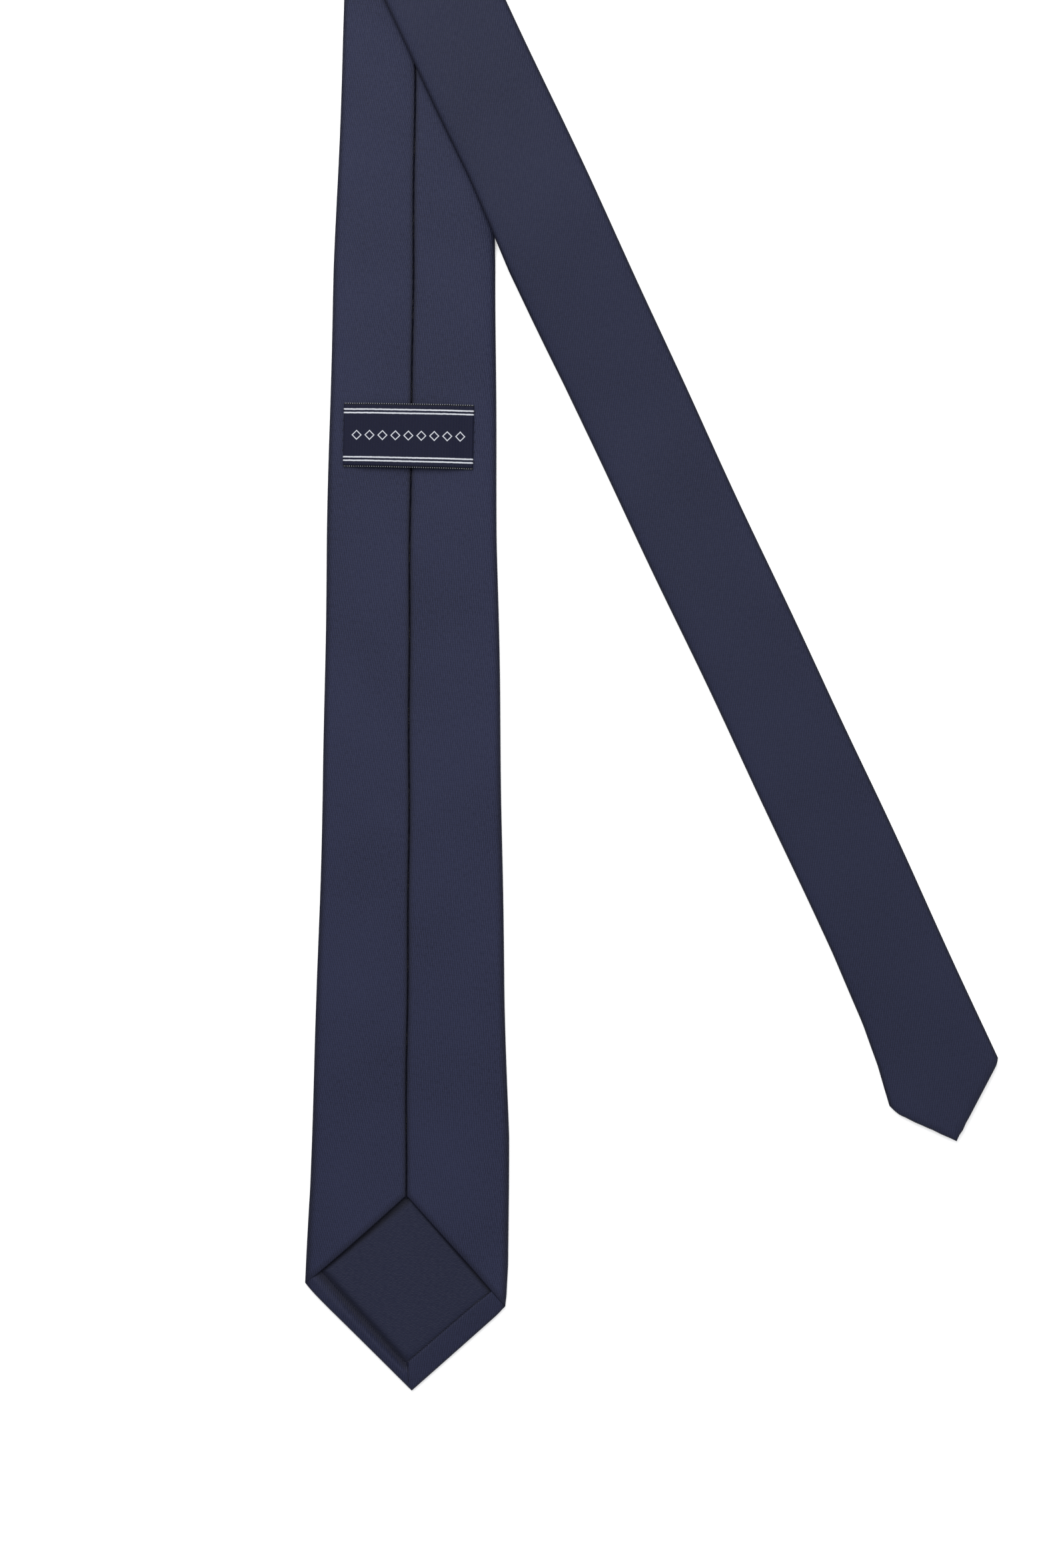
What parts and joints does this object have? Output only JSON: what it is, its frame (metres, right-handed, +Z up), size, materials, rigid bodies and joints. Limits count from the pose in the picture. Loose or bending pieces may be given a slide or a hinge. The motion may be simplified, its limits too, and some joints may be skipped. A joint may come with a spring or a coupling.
{
  "type": "necktie",
  "caption": "Slim navy satin necktie, self-tipped, laid flat with its seam side up and the plain tail crossing over it, with a woven keeper loop.",
  "frame": {"origin": "on the table, under the middle of the laid tie's bounding box", "axes": "+Z up from the table, +Y along the wide blade away from its point, +X to the side the tail points to"},
  "size_m": [0.2602, 0.7524, 0.0094],
  "materials": {
    "shell_satin": "fine ribbed twill satin",
    "lining_satin": "same satin on its other grain",
    "woven_band": "woven satin ribbon with white lines",
    "sewing_thread": "matt spun thread",
    "interlining_wool": "napped wool blend"
  },
  "bodies": {
    "blade_end": {"wide_shell_lower": "shell_satin", "wide_tipping": "lining_satin", "wide_tipping_seam": "sewing_thread", "wide_interlining": "interlining_wool", "wide_slip_stitch": "sewing_thread", "keeper_loop": "woven_band", "keeper_stitches": "sewing_thread"},
    "neck_base": {"wide_shell_upper": "shell_satin", "neck_shell_lower": "shell_satin", "blade_join_seam": "sewing_thread", "neck_interlining_lower": "interlining_wool", "neck_slip_stitch_lower": "sewing_thread"},
    "tail_leg": {"neck_shell_upper": "shell_satin", "tail_join_seam": "sewing_thread", "tail_shell_upper": "shell_satin", "neck_interlining_upper": "interlining_wool", "neck_slip_stitch_upper": "sewing_thread"},
    "tail_end": {"tail_shell_lower": "shell_satin", "tail_tipping": "lining_satin", "tail_tipping_seam": "sewing_thread", "tail_interlining": "interlining_wool", "tail_slip_stitch": "sewing_thread"}
  },
  "joints": [
    {"name": "blade_lift", "type": "hinge", "parent": "neck_base", "child": "blade_end", "pos_m": [-0.0424, -0.0502, 0.003], "axis": [-1, 0, 0], "range_deg": [0, 90]},
    {"name": "neck_fold", "type": "hinge", "parent": "neck_base", "child": "tail_leg", "pos_m": [-0.11413, 0.37271, 0.00465], "axis": [-0.9759, -0.2181, 0], "range_deg": [0, 179.5]},
    {"name": "tail_lift", "type": "hinge", "parent": "tail_leg", "child": "tail_end", "pos_m": [0.00699, -0.05316, 0.00615], "axis": [0.9048, 0.4258, 0], "range_deg": [-90, 0]}
  ]
}
